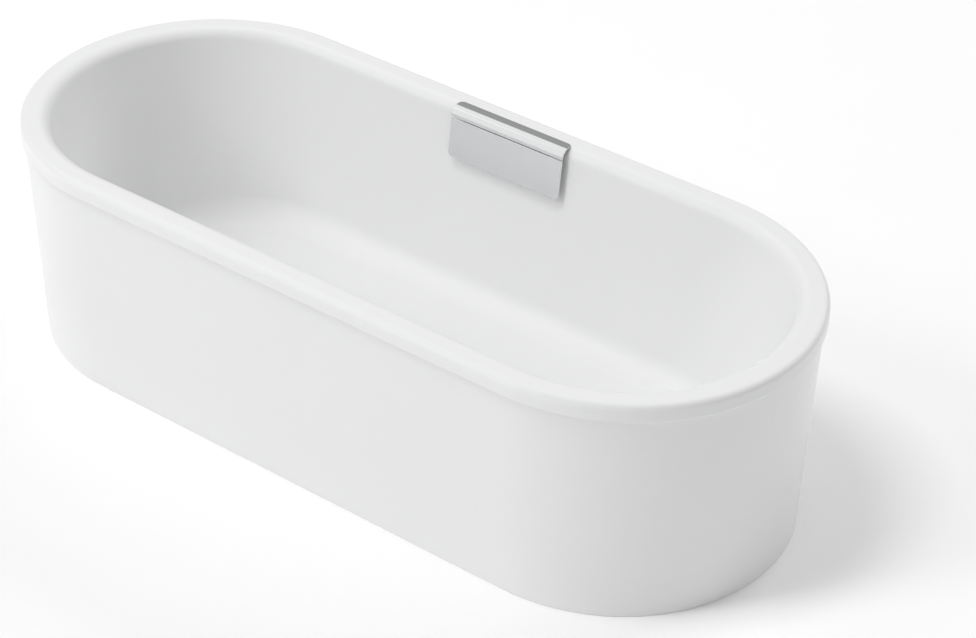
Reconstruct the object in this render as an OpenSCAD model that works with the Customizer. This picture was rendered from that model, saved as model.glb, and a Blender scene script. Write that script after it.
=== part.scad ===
// Freestanding bathtub: a pressed basin with a rolled rim, an apron, a levelled steel frame,
// a centre waste with a push stopper and trap, and a wide chrome overflow on the rear rim.
// The origin is on the floor under the middle of the tub. +X runs along the length, +Y points
// to the overflow side and +Z is up.

/* [Tub] */
// Overall length
tub_l = 1700; // [1660:10:1760]
// Overall width
tub_w = 720; // [710:5:740]
// Height from the floor to the top of the rim
tub_h = 471; // [465:1:480]
// Wall thickness of the basin
shell_t = 6; // [5:0.5:6.5]

/* [Rim] */
// Height of the lip that hangs outside the rim
lip_h = 34; // [30:1:38]
// Thickness of the lip
lip_t = 5.4; // [5:0.1:5.6]
// Rounding of the rim's outer top edge
rim_outer_r = 11; // [8:1:13]
// Rounding of the lip's lower edge
lip_edge_r = 3; // [1:0.5:4]
// Width from the outer edge to the start of the inner rounding
rim_flat_w = 34; // [32:1:36]
// Rounding from the rim into the basin
rim_inner_r = 22; // [20:1:24]

/* [Basin] */
// Lean of the walls from upright, in degrees
wall_lean = 7.5; // [6:0.5:8.5]
// Extra draw of the two ends, in millimetres per millimetre of depth
end_draw = 0.158; // [0.12:0.002:0.18]
// Height of the basin's floor at its edge
floor_z = 88; // [87:1:92]
// Fall of the floor to the drain
floor_fall = 3; // [2:0.5:4]
// Radius of the fillet between wall and floor
floor_fillet_r = 48; // [44:1:54]

/* [Apron] */
// Thickness of the apron
apron_t = 5; // [4:0.5:6]
// How far the lip stands proud of the apron
lip_overhang = 6.4; // [6:0.1:7]
// How much the apron draws in from the lip to the floor
apron_draw = 14.6; // [12:0.2:18]
// Width of the apron's foot flange, from the apron's outer face
apron_flange_w = 21; // [18:1:24]

/* [Waste and overflow] */
// Distance of the waste and the overflow from the middle, along the length
waste_x = 10; // [0:1:20]
// Height of the overflow hole's centre
overflow_z = 412; // [405:1:416]
// Width of the chrome overflow plates
cover_w = 265; // [240:1:280]
// Height of the lower overflow plate
cover_h = 84; // [76:1:90]
// Corner radius of the chrome plates
cover_corner_r = 10; // [6:1:14]
// Radius of the rounded front of the upper plate
trim_r = 20; // [18:1:21]
// Lift of the drain stopper when it is open
stopper_lift = 9; // [6:1:10]

/* [Frame and feet] */
// Spacing of the two long rails
rail_gap = 300; // [280:10:320]
// Length of the long rails
rail_l = 1120; // [1000:10:1160]
// Spacing of each pair of feet, across the tub
foot_gap = 500; // [460:10:520]
// Radius of a foot's pad
pad_r = 22; // [18:1:25]

/* [Hidden] */
$fn = 96;

FOOT_NUMBERS = [1, 2, 3, 4, 5, 6];

slack = 0.1; // radial clearance of a sliding or screwed fit
cut = 1; // how far a cutter runs past the face it cuts
wall_cut = 15; // the same for the leaning hole in the rear wall
seal_inset = 1; // how far a flat seal stays back from the edges round it

// Rim and end circles
rim_r = tub_w / 2;
end_c = tub_l / 2 - rim_r;
lip_inner_r = rim_r - lip_t;
lip_z = tub_h - lip_h;
rim_round_r = rim_r - rim_flat_w;
rim_round_z = tub_h - rim_inner_r;

// The straight line of the long wall, from its tangent on the rim's rounding
wall_top_r = rim_round_r - rim_inner_r * cos(wall_lean);
wall_top_z = rim_round_z + rim_inner_r * sin(wall_lean);

// Basin mesh: segments of each half-round end, and of the fillets and roundings
end_n = 32;
fillet_n = 7;
round_n = 5;
edge_n = 3;

// Underside of the basin's floor, and the dish round the drain
shell_base_z = floor_z - floor_fall - shell_t;
dish_r = 60;
dish_c = 15;

// Drain hole and recess
drain_z = floor_z - floor_fall;
drain_hole_r = 26;
recess_r = 44;
recess_d = 2.5;
overflow_hole_r = 26;

// Apron
apron_r = rim_r - lip_overhang;
apron_foot_r = apron_r - apron_draw;
bond_h = 6;
bond_in = 3;
bond_back = 0.6;
apron_top_z = tub_h - shell_t - bond_h;
flange_t = 5;

// Board, rails and feet, stacked under the basin's floor
board_t = 14;
board_z = shell_base_z - board_t;
board_c = 425;
board_r = 190;
board_hole_r = 62;
rail_w = 30;
rail_h = 20;
rail_t = 2;
long_z = board_z - rail_h;
cross_z = long_z - rail_h;
cross_l = 580;
cross_x = [-430, -160, 430];
screw_x = [-520, -300, -60, 220, 520];

stud_r = 5;
stud_hole_r = 5.6;
stud_top_z = 62;
stud_tip = 1;
insert_t = 10;
pad_t = 6;
pad_bevel_h = 2;
pad_bevel_w = 4;
hub_r = 10;
hub_z = 12;
stud_foot_z = 4;
nut_t = 8;
foot_nut_r = 9.2;
rail_bolt_r = 4;
rail_bolt_head_r = 7.5;
rail_bolt_head_t = 5.5;
rail_nut_t = 6.5;
rail_bolt_tail = 2;
board_screw_r = 2.5;
board_screw_head_r = 4.6;
board_screw_head_t = 2;
board_screw_reach = 11;
bracket_t = 2.5;
bracket_reach = 331;
bracket_screw_y = 326;
bracket_screw_r = 2.5;
bracket_screw_head_r = 4.6;
bracket_screw_top_r = 3.2;
bracket_screw_head_t = 2.6;
bracket_screw_tip_z = 1.5;
bracket_hole_z = 1;

// Waste: flange, body and trap
flange_r = 43;
flange_top_z = drain_z + 1;
flange_seat_r = 30;
flange_bevel_w = 2;
flange_bevel_h = 1.2;
flange_seal_t = 1;
flange_base_z = drain_z - recess_d + flange_seal_t;
neck_r = 24;
neck_bore_r = 21;
neck_z = 50;
gasket_t = 3;
body_flange_r = 45;
body_flange_t = 5;
body_top_z = shell_base_z - gasket_t;
body_r = 34;
body_bore_r = 31;
body_base_z = 4;
body_wall = 3;
collar_z = 60;
spider_bar_w = 3;
spider_bar_h = 5;
pin_r = 3;
pin_boss_r = 6;
pin_boss_h = 8;
pin_grip = 3;
pin_base_z = neck_z + pin_grip - stopper_lift;
pin_collar_r = 8.5;
pin_collar_h = 6;
cap_r = 31;
cap_z = flange_top_z + 1;
cap_h = 4;
dome_drop = 2;
dome_r = (cap_r * cap_r + dome_drop * dome_drop) / (2 * dome_drop);
stopper_seal_r = 26;
stopper_seal_bore_r = 9;
stopper_seal_t = 2;

// Pipes: outside, bore and socket radii of the two sizes
pipe32_r = 16;
pipe32_bore_r = 14;
socket32_r = 19;
nut32_r = 22;
pipe40_r = 20;
pipe40_bore_r = 17.5;
socket40_r = 23;
nut40_r = 27;
nut_lap = 10;
nut_face = 4;
nut_bevel = 1;
nut_bore_gap = 0.3;
seal_t = 3;

drain_out_z = 30;
drain_out_end = waste_x + 80;
trap_x = 160;
trap_r = 45;
trap_bore_r = 42;
trap_top_z = 62;
trap_mid_z = (trap_top_z + body_base_z) / 2;
trap_in_mouth = 88;
trap_out_z = 36;
trap_out_end = 232;
weir_t = 3;
weir_z = 12;
clean_r = 26;
clean_bore_r = 22;
clean_y = 54;
clean_cap_r = 29.5;
clean_cap_t = 8;
clean_seal_t = 2;
outlet_bend_r = 22;
outlet_mouth = 218;
outlet_start = 238;
outlet_x = outlet_start + outlet_bend_r;
outlet_end_z = 1;

// Overflow run: a leaning pipe beside the basin and a level link under it
pipe_lean = 2.5;
pipe_foot_y = 310;
link_z = 24;
bend_r = 26;
bend_wall_r = 18;
bend_lap = 1;
pipe_foot_z = link_z + bend_r * (1 - sin(pipe_lean));
pipe_l = 325;
socket_depth = 22;
link_start_y = pipe_foot_y - bend_r * cos(pipe_lean);
link_end_y = 40;
link_socket_y = 62;

// Overflow body behind the wall, in the leaning frame of the hole
overflow_wall_y = wall_r(overflow_z, 0);
overflow_seal_t = 3;
chamber_r = 30;
chamber_bore_r = 27;
chamber_depth = 38;
chamber_flange_r = 40;
overflow_neck_r = 25;
overflow_neck_bore_r = 22;
overflow_neck_l = 20;
overflow_ring_r = 34;
overflow_ring_t = 3;
overflow_ring_bevel = 1;
overflow_body_y = shell_t + overflow_seal_t;
chamber_flange_t = 3;
collar_l = 8;
collar_lap = 1;
spigot_l = 26;
spigot_bore_l = 22;

// Chrome plates and what holds them
trim_t = 2;
trim_set_back = 3;
trim_flat_w = 12;
trim_back_y = rim_round_r - trim_set_back;
trim_centre_y = trim_back_y - trim_flat_w;
trim_centre_z = tub_h + trim_t - trim_r;
cover_t = 3;
cover_y = trim_centre_y - trim_r;
cover_gap = 1;
bracket_plate_t = 1.5;
bracket_plate_w = 190;
bracket_plate_low_z = overflow_z - 36;
bracket_tab_y = trim_back_y - 5.5;
bracket_bend_z = tub_h - 4;
bracket_bend_w = 3;
stud_at = [[-70, -22], [70, -22], [-70, -62], [70, -62]];
cover_stud_r = 3;
cover_stud_gap = 0.5;
clip_r = 5;
clip_l = 5;
bracket_face = (wall_r(trim_centre_z, 0) - cover_y) * cos(wall_lean) - bracket_plate_t;

// Radius of the long wall at a height, with an offset out of the basin
function wall_r(z, out) = wall_top_r + out / cos(wall_lean) - tan(wall_lean) * (wall_top_z - z);

// Half distance between the end circles of the basin, drawn in with depth
function basin_c(z) = end_c - end_draw * (tub_h - z);

// Arc of n segments as [radius, height] points
function arc(cr, cz, r, from, to, n) =
    [for (i = [0 : n]) let (a = from + (to - from) * i / n) [cr + r * cos(a), cz + r * sin(a)]];

// Fillet tangent to a floor plane and to the wall line at an offset, from the floor up
function fillet(out, z0, r) =
    let (zt = z0 + r * (1 - sin(wall_lean)), cr = wall_r(zt, out) - r * cos(wall_lean))
    arc(cr, z0 + r, r, -90, -wall_lean, fillet_n);

// Profile points to rings of [end centre, radius, height, middle]
function drawn(pts) = [for (p = pts) [basin_c(p[1]), p[0], p[1], 0]];
function upright(pts) = [for (p = pts) [end_c, p[0], p[1], 0]];
function reversed(v) = [for (i = [len(v) - 1 : -1 : 0]) v[i]];

// The basin's section as rings, from the floor's inside over the rim to the floor's underside
basin_rings = concat(
    [[dish_c, dish_r, drain_z, waste_x]],
    drawn(fillet(0, floor_z, floor_fillet_r)),
    drawn(arc(rim_round_r, rim_round_z, rim_inner_r, 180 - wall_lean, 90, round_n)),
    upright(arc(rim_r - rim_outer_r, tub_h - rim_outer_r, rim_outer_r, 90, 0, round_n)),
    upright(arc(rim_r - lip_edge_r, lip_z + lip_edge_r, lip_edge_r, 0, -90, edge_n)),
    upright([[lip_inner_r, lip_z], [lip_inner_r, tub_h - shell_t]]),
    drawn(arc(rim_round_r, rim_round_z, rim_inner_r - shell_t, 90, 180 - wall_lean, round_n)),
    drawn(reversed(fillet(shell_t, shell_base_z, floor_fillet_r + shell_t)))
);

function ring_points(g) = [
    for (e = [0, 1], i = [0 : end_n])
        let (a = 180 * (i / end_n + e) - 90)
        [g[3] + (1 - 2 * e) * g[0] + g[1] * cos(a), g[1] * sin(a), g[2]]
];

// A closed skin through rings of equal point counts, with a flat cap at each end
module ring_skin(rings) {
    m = 2 * (end_n + 1);
    last = len(rings) - 1;
    points = [for (g = rings) each ring_points(g)];
    sides = [
        for (k = [0 : last - 1], j = [0 : m - 1])
            let (j2 = (j + 1) % m)
            [k * m + j, (k + 1) * m + j, (k + 1) * m + j2, k * m + j2]
    ];
    caps = [[for (j = [m - 1 : -1 : 0]) j], [for (j = [0 : m - 1]) last * m + j]];
    polyhedron(points = points, faces = concat(sides, [for (c = caps) reversed(c)]), convexity = 6);
}

// Sweep a [radius, height] profile round a stadium whose end centres are c from the middle
module stadium_sweep(c) {
    for (s = [1, -1]) {
        translate([s * c, 0, 0])
            rotate([0, 0, -90 * s])
                rotate_extrude(angle = 180)
                    children();
        mirror([0, s < 0 ? 1 : 0, 0])
            translate([-c, 0, 0])
                rotate([90, 0, 90])
                    linear_extrude(2 * c)
                        children();
    }
}

module stadium(c, r) {
    square([2 * c, 2 * r], center = true);
    for (s = [1, -1])
        translate([s * c, 0])
            circle(r);
}

// A tube standing on z = 0
module tube(r_out, r_in, h) {
    difference() {
        cylinder(r = r_out, h = h);
        translate([0, 0, -cut])
            cylinder(r = r_in, h = h + 2 * cut);
    }
}

// A bent tube in the XY plane, from the X axis round to an angle
module tube_bend(r_out, r_in, bend, angle) {
    rotate_extrude(angle = angle)
        translate([bend, 0])
            difference() {
                circle(r_out);
                circle(r_in);
            }
}

// A square-ended box tube along X, standing on z = 0 and centred on y
module box_tube(l, w, h, t) {
    difference() {
        translate([-l / 2, -w / 2, 0])
            cube([l, w, h]);
        translate([-l / 2 - cut, -w / 2 + t, t])
            cube([l + 2 * cut, w - 2 * t, h - 2 * t]);
    }
}

// A hexagon nut with a round bore, standing on z = 0
module hex_nut(r, bore_r, h) {
    difference() {
        cylinder(r = r, h = h, $fn = 6);
        translate([0, 0, -cut])
            cylinder(r = bore_r, h = h + 2 * cut);
    }
}

function foot_x(i) = cross_x[floor((i - 1) / 2)];
function foot_y(i) = (i % 2 == 0 ? 1 : -1) * foot_gap / 2;

// Places
module at_feet() {
    for (i = FOOT_NUMBERS)
        translate([foot_x(i), foot_y(i), 0])
            children();
}

module at_rail_crossings() {
    for (x = cross_x, s = [1, -1])
        translate([x, s * rail_gap / 2, 0])
            children();
}

module at_board_screws() {
    for (x = screw_x, s = [1, -1])
        translate([x, s * rail_gap / 2, 0])
            children();
}

module at_brackets() {
    for (x = cross_x, s = [0, 1])
        mirror([0, s, 0])
            translate([x, 0, 0])
                children();
}

module at_drain() {
    translate([waste_x, 0, 0])
        children();
}

// The hole in the rear wall: +Y runs out of the basin, square to the wall
module at_overflow() {
    translate([waste_x, overflow_wall_y, overflow_z])
        rotate([-wall_lean, 0, 0])
            children();
}

// The top front edge of the lower plate: +Y runs towards the wall, square to it
module at_cover() {
    translate([waste_x, cover_y, trim_centre_z])
        rotate([-wall_lean, 0, 0])
            children();
}

// A distance up the leaning overflow pipe
module at_pipe(up) {
    translate([waste_x, pipe_foot_y, pipe_foot_z])
        rotate([-pipe_lean, 0, 0])
            translate([0, 0, up])
                children();
}

// Socket mouths, with +Z out of the mouth along the pipe
module at_mouths_32() {
    at_pipe(pipe_l - socket_depth)
        rotate([180, 0, 0])
            children();
    at_pipe(socket_depth)
        children();
    translate([waste_x, link_start_y - socket_depth, link_z])
        rotate([90, 0, 0])
            children();
    translate([waste_x, link_socket_y, link_z])
        rotate([-90, 0, 0])
            children();
}

module at_mouths_40() {
    for (p = [[trap_in_mouth, drain_out_z], [outlet_mouth, trap_out_z]])
        translate([p[0], 0, p[1]])
            rotate([0, -90, 0])
                children();
}

// Cylinders along the two level axes, from one coordinate to another
module along_x(r, x0, x1) {
    translate([x0, 0, 0])
        rotate([0, 90, 0])
            cylinder(r = r, h = x1 - x0);
}

module along_y(r, y0, y1) {
    translate([0, y0, 0])
        rotate([-90, 0, 0])
            cylinder(r = r, h = y1 - y0);
}

// Basin and apron
module tub_shell() {
    color("white")
        difference() {
            ring_skin(basin_rings);
            at_drain() {
                translate([0, 0, drain_z - recess_d])
                    cylinder(r = recess_r, h = recess_d + cut);
                translate([0, 0, shell_base_z - cut])
                    cylinder(r = drain_hole_r, h = shell_t + 2 * cut);
            }
            at_overflow()
                along_y(overflow_hole_r, -wall_cut, wall_cut);
        }
}

module outer_skirt() {
    color("white")
        difference() {
            stadium_sweep(end_c)
                polygon([
                    [apron_foot_r, 0],
                    [apron_r, lip_z],
                    [apron_r, apron_top_z],
                    [apron_r - apron_t, apron_top_z],
                    [apron_r - apron_t, lip_z],
                    [apron_foot_r - apron_t, flange_t],
                    [apron_foot_r - apron_flange_w, flange_t],
                    [apron_foot_r - apron_flange_w, 0]
                ]);
            at_brackets()
                translate([0, bracket_screw_y, bracket_hole_z])
                    cylinder(r = bracket_screw_r + slack, h = flange_t);
        }
}

// The adhesive bead between the apron's top edge and the rim's underside
module rim_bond() {
    color("gainsboro")
        stadium_sweep(end_c)
            translate([apron_r - apron_t - bond_in, apron_top_z])
                square([apron_t + bond_in - bond_back, bond_h]);
}

module floor_board() {
    color("burlywood")
        difference() {
            translate([0, 0, board_z])
                linear_extrude(board_t)
                    stadium(board_c, board_r);
            at_drain()
                translate([0, 0, board_z - cut])
                    cylinder(r = board_hole_r, h = board_t + 2 * cut);
            at_board_screws()
                translate([0, 0, board_z - cut])
                    cylinder(r = board_screw_r + slack, h = board_screw_reach + cut);
        }
}

// Frame
module long_rail(side) {
    color("silver")
        difference() {
            translate([0, side * rail_gap / 2, long_z])
                box_tube(rail_l, rail_w, rail_h, rail_t);
            at_rail_crossings()
                translate([0, 0, long_z - cut])
                    cylinder(r = rail_bolt_r + slack, h = rail_t + 2 * cut);
            at_board_screws()
                translate([0, 0, long_z - cut])
                    cylinder(r = board_screw_r + slack, h = rail_h + 2 * cut);
        }
}

module cross_rail(k) {
    color("silver")
        difference() {
            translate([cross_x[k], 0, cross_z])
                rotate([0, 0, 90])
                    box_tube(cross_l, rail_w, rail_h, rail_t);
            at_rail_crossings()
                translate([0, 0, cross_z - cut])
                    cylinder(r = rail_bolt_r + slack, h = rail_h + 2 * cut);
            at_feet()
                translate([0, 0, cross_z - cut])
                    cylinder(r = stud_hole_r, h = rail_h + 2 * cut);
        }
}

module rail_bolts() {
    color("silver")
        at_rail_crossings() {
            translate([0, 0, cross_z - rail_bolt_head_t])
                cylinder(r = rail_bolt_head_r, h = rail_bolt_head_t, $fn = 6);
            translate([0, 0, cross_z - cut])
                cylinder(r = rail_bolt_r, h = cut + rail_h + rail_t + rail_nut_t + rail_bolt_tail);
        }
}

module rail_nuts() {
    color("silver")
        at_rail_crossings()
            translate([0, 0, long_z + rail_t])
                hex_nut(rail_bolt_head_r, rail_bolt_r + slack, rail_nut_t);
}

module board_screws() {
    color("silver")
        at_board_screws() {
            translate([0, 0, long_z - board_screw_head_t])
                cylinder(r1 = board_screw_r, r2 = board_screw_head_r, h = board_screw_head_t);
            translate([0, 0, long_z - cut])
                cylinder(r = board_screw_r, h = rail_h + board_screw_reach);
        }
}

// Angles from the cross rails' ends down onto the apron's foot flange
module skirt_brackets() {
    color("silver")
        at_brackets()
            difference() {
                translate([-rail_w / 2, 0, 0])
                    rotate([90, 0, 90])
                        linear_extrude(rail_w)
                            polygon([
                                [cross_l / 2, flange_t],
                                [bracket_reach, flange_t],
                                [bracket_reach, flange_t + bracket_t],
                                [cross_l / 2 + bracket_t, flange_t + bracket_t],
                                [cross_l / 2 + bracket_t, long_z],
                                [cross_l / 2, long_z]
                            ]);
                translate([0, bracket_screw_y, flange_t - cut])
                    cylinder(r = bracket_screw_r + slack, h = bracket_t + 2 * cut);
            }
}

module bracket_screws() {
    color("silver")
        at_brackets()
            translate([0, bracket_screw_y, 0]) {
                translate([0, 0, flange_t + bracket_t])
                    cylinder(r1 = bracket_screw_head_r, r2 = bracket_screw_top_r, h = bracket_screw_head_t);
                translate([0, 0, bracket_screw_tip_z])
                    cylinder(r = bracket_screw_r, h = flange_t + bracket_t);
            }
}

// Feet
module foot_inserts() {
    color("silver")
        at_feet()
            translate([0, 0, cross_z + rail_t])
                hex_nut(foot_nut_r, stud_r + slack, insert_t);
}

module foot_lock_nuts() {
    color("silver")
        at_feet()
            translate([0, 0, cross_z - nut_t])
                hex_nut(foot_nut_r, stud_r + slack, nut_t);
}

module foot_pad(i) {
    color("dimgray")
        translate([foot_x(i), foot_y(i), 0])
            difference() {
                union() {
                    cylinder(r = pad_r, h = pad_t - pad_bevel_h);
                    translate([0, 0, pad_t - pad_bevel_h])
                        cylinder(r1 = pad_r, r2 = pad_r - pad_bevel_w, h = pad_bevel_h);
                    cylinder(r = hub_r, h = hub_z);
                }
                translate([0, 0, stud_foot_z])
                    cylinder(r = stud_r + slack, h = hub_z);
            }
}

module foot_stud(i) {
    color("silver")
        translate([foot_x(i), foot_y(i), stud_foot_z]) {
            cylinder(r = stud_r, h = stud_top_z - stud_foot_z - stud_tip);
            translate([0, 0, stud_top_z - stud_foot_z - stud_tip])
                cylinder(r1 = stud_r, r2 = stud_r - stud_tip, h = stud_tip);
        }
}

// Waste
module drain_flange() {
    color("silver")
        at_drain() {
            rotate_extrude()
                polygon([
                    [neck_bore_r, neck_z],
                    [neck_r, neck_z],
                    [neck_r, flange_base_z],
                    [flange_r, flange_base_z],
                    [flange_r, flange_top_z - flange_bevel_h],
                    [flange_r - flange_bevel_w, flange_top_z],
                    [flange_seat_r, flange_top_z],
                    [neck_bore_r, flange_base_z]
                ]);
            translate([0, 0, neck_z])
                difference() {
                    union() {
                        cylinder(r = pin_boss_r, h = pin_boss_h);
                        for (a = [0, 60, 120])
                            rotate([0, 0, a])
                                translate([-neck_bore_r - cut, -spider_bar_w / 2, 0])
                                    cube([2 * (neck_bore_r + cut), spider_bar_w, spider_bar_h]);
                    }
                    translate([0, 0, -cut])
                        cylinder(r = pin_r + slack, h = pin_boss_h + 2 * cut);
                }
        }
}

module flange_seal() {
    color("black")
        at_drain()
            translate([0, 0, drain_z - recess_d])
                tube(flange_r - seal_inset, drain_hole_r + seal_inset, flange_seal_t);
}

module drain_gasket() {
    color("black")
        at_drain()
            translate([0, 0, shell_base_z - gasket_t])
                tube(body_flange_r - seal_inset, drain_hole_r + seal_inset, gasket_t);
}

module drain_body() {
    color("whitesmoke")
        at_drain()
            difference() {
                union() {
                    translate([0, 0, body_base_z])
                        cylinder(r = body_r, h = body_top_z - body_base_z);
                    translate([0, 0, body_top_z - body_flange_t])
                        cylinder(r = body_flange_r, h = body_flange_t);
                    translate([0, 0, link_z])
                        along_y(socket32_r, 0, link_socket_y);
                    translate([0, 0, drain_out_z])
                        along_x(pipe40_r, 0, drain_out_end - waste_x);
                }
                translate([0, 0, body_base_z + body_wall])
                    cylinder(r = body_bore_r, h = collar_z - body_base_z - body_wall);
                translate([0, 0, collar_z - cut])
                    cylinder(r = neck_r + slack, h = body_top_z - collar_z + 2 * cut);
                translate([0, 0, link_z]) {
                    along_y(pipe32_bore_r, 0, link_socket_y);
                    along_y(pipe32_r + slack, link_end_y, link_socket_y + cut);
                }
                translate([0, 0, drain_out_z])
                    along_x(pipe40_bore_r, 0, drain_out_end - waste_x + cut);
            }
}

module stopper_cap() {
    color("silver")
        at_drain()
            translate([0, 0, cap_z])
                rotate_extrude()
                    intersection() {
                        square([cap_r, cap_h]);
                        translate([0, cap_h - dome_r])
                            circle(dome_r, $fn = 360);
                    }
}

module stopper_seal() {
    color("black")
        at_drain()
            translate([0, 0, cap_z - stopper_seal_t])
                tube(stopper_seal_r, stopper_seal_bore_r, stopper_seal_t);
}

module stopper_pin() {
    color("silver")
        at_drain() {
            translate([0, 0, pin_base_z])
                cylinder(r = pin_r, h = cap_z - pin_base_z);
            translate([0, 0, cap_z - pin_collar_h])
                cylinder(r = pin_collar_r, h = pin_collar_h);
        }
}

// Trap
module trap_body() {
    color("whitesmoke") {
        difference() {
            union() {
                translate([trap_x, 0, body_base_z])
                    cylinder(r = trap_r, h = trap_top_z - body_base_z);
                translate([0, 0, drain_out_z])
                    along_x(socket40_r, trap_in_mouth, trap_x);
                translate([0, 0, trap_out_z])
                    along_x(pipe40_r, trap_x, trap_out_end);
                translate([trap_x, 0, trap_mid_z])
                    along_y(clean_r, -clean_y, 0);
            }
            translate([trap_x, 0, body_base_z + body_wall])
                cylinder(r = trap_bore_r, h = trap_top_z - body_base_z - 2 * body_wall);
            translate([0, 0, drain_out_z]) {
                along_x(pipe40_r + slack, trap_in_mouth - cut, trap_x - trap_bore_r);
                along_x(pipe40_bore_r, trap_in_mouth, trap_x);
            }
            translate([0, 0, trap_out_z])
                along_x(pipe40_bore_r, trap_x, trap_out_end + cut);
            translate([trap_x, 0, trap_mid_z])
                along_y(clean_bore_r, -clean_y - cut, 0);
        }
        weir();
    }
}

// The wall in the trap that holds the water seal
module weir() {
    intersection() {
        translate([trap_x - weir_t / 2, -trap_r, weir_z])
            cube([weir_t, 2 * trap_r, trap_top_z - body_wall - weir_z]);
        translate([trap_x, 0, body_base_z])
            cylinder(r = trap_bore_r + cut, h = trap_top_z - body_base_z);
    }
}

module trap_cap() {
    color("whitesmoke")
        translate([trap_x, 0, trap_mid_z])
            difference() {
                along_y(clean_cap_r, -clean_y - clean_seal_t - body_wall, -clean_y + clean_cap_t);
                along_y(clean_r + slack, -clean_y - clean_seal_t, -clean_y + clean_cap_t + cut);
            }
}

module trap_cap_seal() {
    color("black")
        translate([trap_x, -clean_y, trap_mid_z])
            rotate([90, 0, 0])
                tube(clean_r, clean_bore_r, clean_seal_t);
}

module outlet_elbow() {
    color("whitesmoke") {
        translate([0, 0, trap_out_z])
            rotate([0, 90, 0]) {
                translate([0, 0, outlet_mouth])
                    tube(socket40_r, pipe40_r + slack, trap_out_end - outlet_mouth);
                translate([0, 0, trap_out_end])
                    tube(socket40_r, pipe40_bore_r, outlet_start - trap_out_end);
            }
        translate([outlet_start, 0, trap_out_z - outlet_bend_r])
            rotate([-90, -90, 0])
                tube_bend(pipe40_r, pipe40_bore_r, outlet_bend_r, 90);
        translate([outlet_x, 0, outlet_end_z])
            tube(pipe40_r, pipe40_bore_r, trap_out_z - outlet_bend_r - outlet_end_z);
    }
}

// Slip nuts and their seals, turned about a socket's mouth
module slip_nut(socket_r, pipe_r, nut_r) {
    rotate_extrude()
        polygon([
            [socket_r + slack, -nut_lap],
            [nut_r, -nut_lap],
            [nut_r, seal_t + nut_face - nut_bevel],
            [nut_r - nut_bevel, seal_t + nut_face],
            [pipe_r + nut_bore_gap, seal_t + nut_face],
            [pipe_r + nut_bore_gap, seal_t],
            [socket_r + slack, seal_t]
        ]);
}

module slip_nuts_32() {
    color("whitesmoke")
        at_mouths_32()
            slip_nut(socket32_r, pipe32_r, nut32_r);
}

module slip_nuts_40() {
    color("whitesmoke")
        at_mouths_40()
            slip_nut(socket40_r, pipe40_r, nut40_r);
}

module pipe_seals_32() {
    color("black")
        at_mouths_32()
            tube(socket32_r, pipe32_r + slack, seal_t);
}

module pipe_seals_40() {
    color("black")
        at_mouths_40()
            tube(socket40_r, pipe40_r + slack, seal_t);
}

// Overflow
module overflow_flange() {
    color("silver")
        at_overflow()
            rotate([-90, 0, 0])
                translate([0, 0, -bracket_plate_t])
                    rotate_extrude()
                        polygon([
                            [overflow_neck_bore_r, -overflow_ring_t],
                            [overflow_ring_r - overflow_ring_bevel, -overflow_ring_t],
                            [overflow_ring_r, -overflow_ring_t + overflow_ring_bevel],
                            [overflow_ring_r, 0],
                            [overflow_neck_r, 0],
                            [overflow_neck_r, overflow_neck_l],
                            [overflow_neck_bore_r, overflow_neck_l]
                        ]);
}

module overflow_seal() {
    color("black")
        at_overflow()
            translate([0, shell_t, 0])
                rotate([-90, 0, 0])
                    tube(chamber_flange_r - seal_inset, overflow_hole_r + seal_inset, overflow_seal_t);
}

module overflow_body() {
    color("whitesmoke")
        difference() {
            union() {
                at_overflow() {
                    along_y(chamber_flange_r, overflow_body_y, overflow_body_y + chamber_flange_t);
                    along_y(chamber_r, overflow_body_y, chamber_depth);
                }
                at_pipe(pipe_l - socket_depth)
                    cylinder(r = socket32_r, h = socket_depth + spigot_l);
            }
            at_overflow() {
                along_y(overflow_neck_r + slack, overflow_body_y - cut, overflow_body_y + collar_l);
                along_y(chamber_bore_r, overflow_body_y + collar_l - collar_lap, chamber_depth - body_wall);
            }
            at_pipe(pipe_l - socket_depth - cut) {
                cylinder(r = pipe32_r + slack, h = socket_depth + cut);
                cylinder(r = pipe32_bore_r, h = socket_depth + spigot_bore_l);
            }
        }
}

module overflow_pipe() {
    color("whitesmoke")
        at_pipe(0)
            tube(pipe32_r, pipe32_bore_r, pipe_l);
}

// The bend from the leaning pipe to the level link, with a socket lapping each end
module overflow_elbow() {
    color("whitesmoke") {
        at_pipe(0)
            translate([0, -bend_r, 0])
                rotate([-90, 0, 90])
                    tube_bend(bend_wall_r, pipe32_bore_r, bend_r, 90 - pipe_lean);
        at_pipe(-bend_lap)
            tube(socket32_r, pipe32_r + slack, socket_depth + bend_lap);
        translate([waste_x, link_start_y + bend_lap, link_z])
            rotate([90, 0, 0])
                tube(socket32_r, pipe32_r + slack, socket_depth + bend_lap);
    }
}

module overflow_link() {
    color("whitesmoke")
        translate([waste_x, link_end_y, link_z])
            rotate([-90, 0, 0])
                tube(pipe32_r, pipe32_bore_r, link_start_y - link_end_y);
}

// Chrome plates
module cover_bracket() {
    t = bracket_plate_t;
    low_z = bracket_plate_low_z;
    color("silver")
        difference() {
            translate([waste_x - bracket_plate_w / 2, 0, 0])
                rotate([90, 0, 90])
                    linear_extrude(bracket_plate_w)
                        polygon([
                            [wall_r(low_z, -t), low_z],
                            [wall_r(low_z, 0), low_z],
                            [wall_r(bracket_bend_z, 0), bracket_bend_z],
                            [wall_r(bracket_bend_z, 0) + bracket_bend_w, tub_h - t],
                            [bracket_tab_y, tub_h - t],
                            [bracket_tab_y, tub_h],
                            [trim_centre_y, tub_h],
                            [wall_r(bracket_bend_z, -t) + bracket_bend_w, tub_h - t / 2],
                            [wall_r(bracket_bend_z, -t), bracket_bend_z]
                        ]);
            at_overflow()
                along_y(overflow_neck_r + slack, -wall_cut, wall_cut);
        }
}

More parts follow.
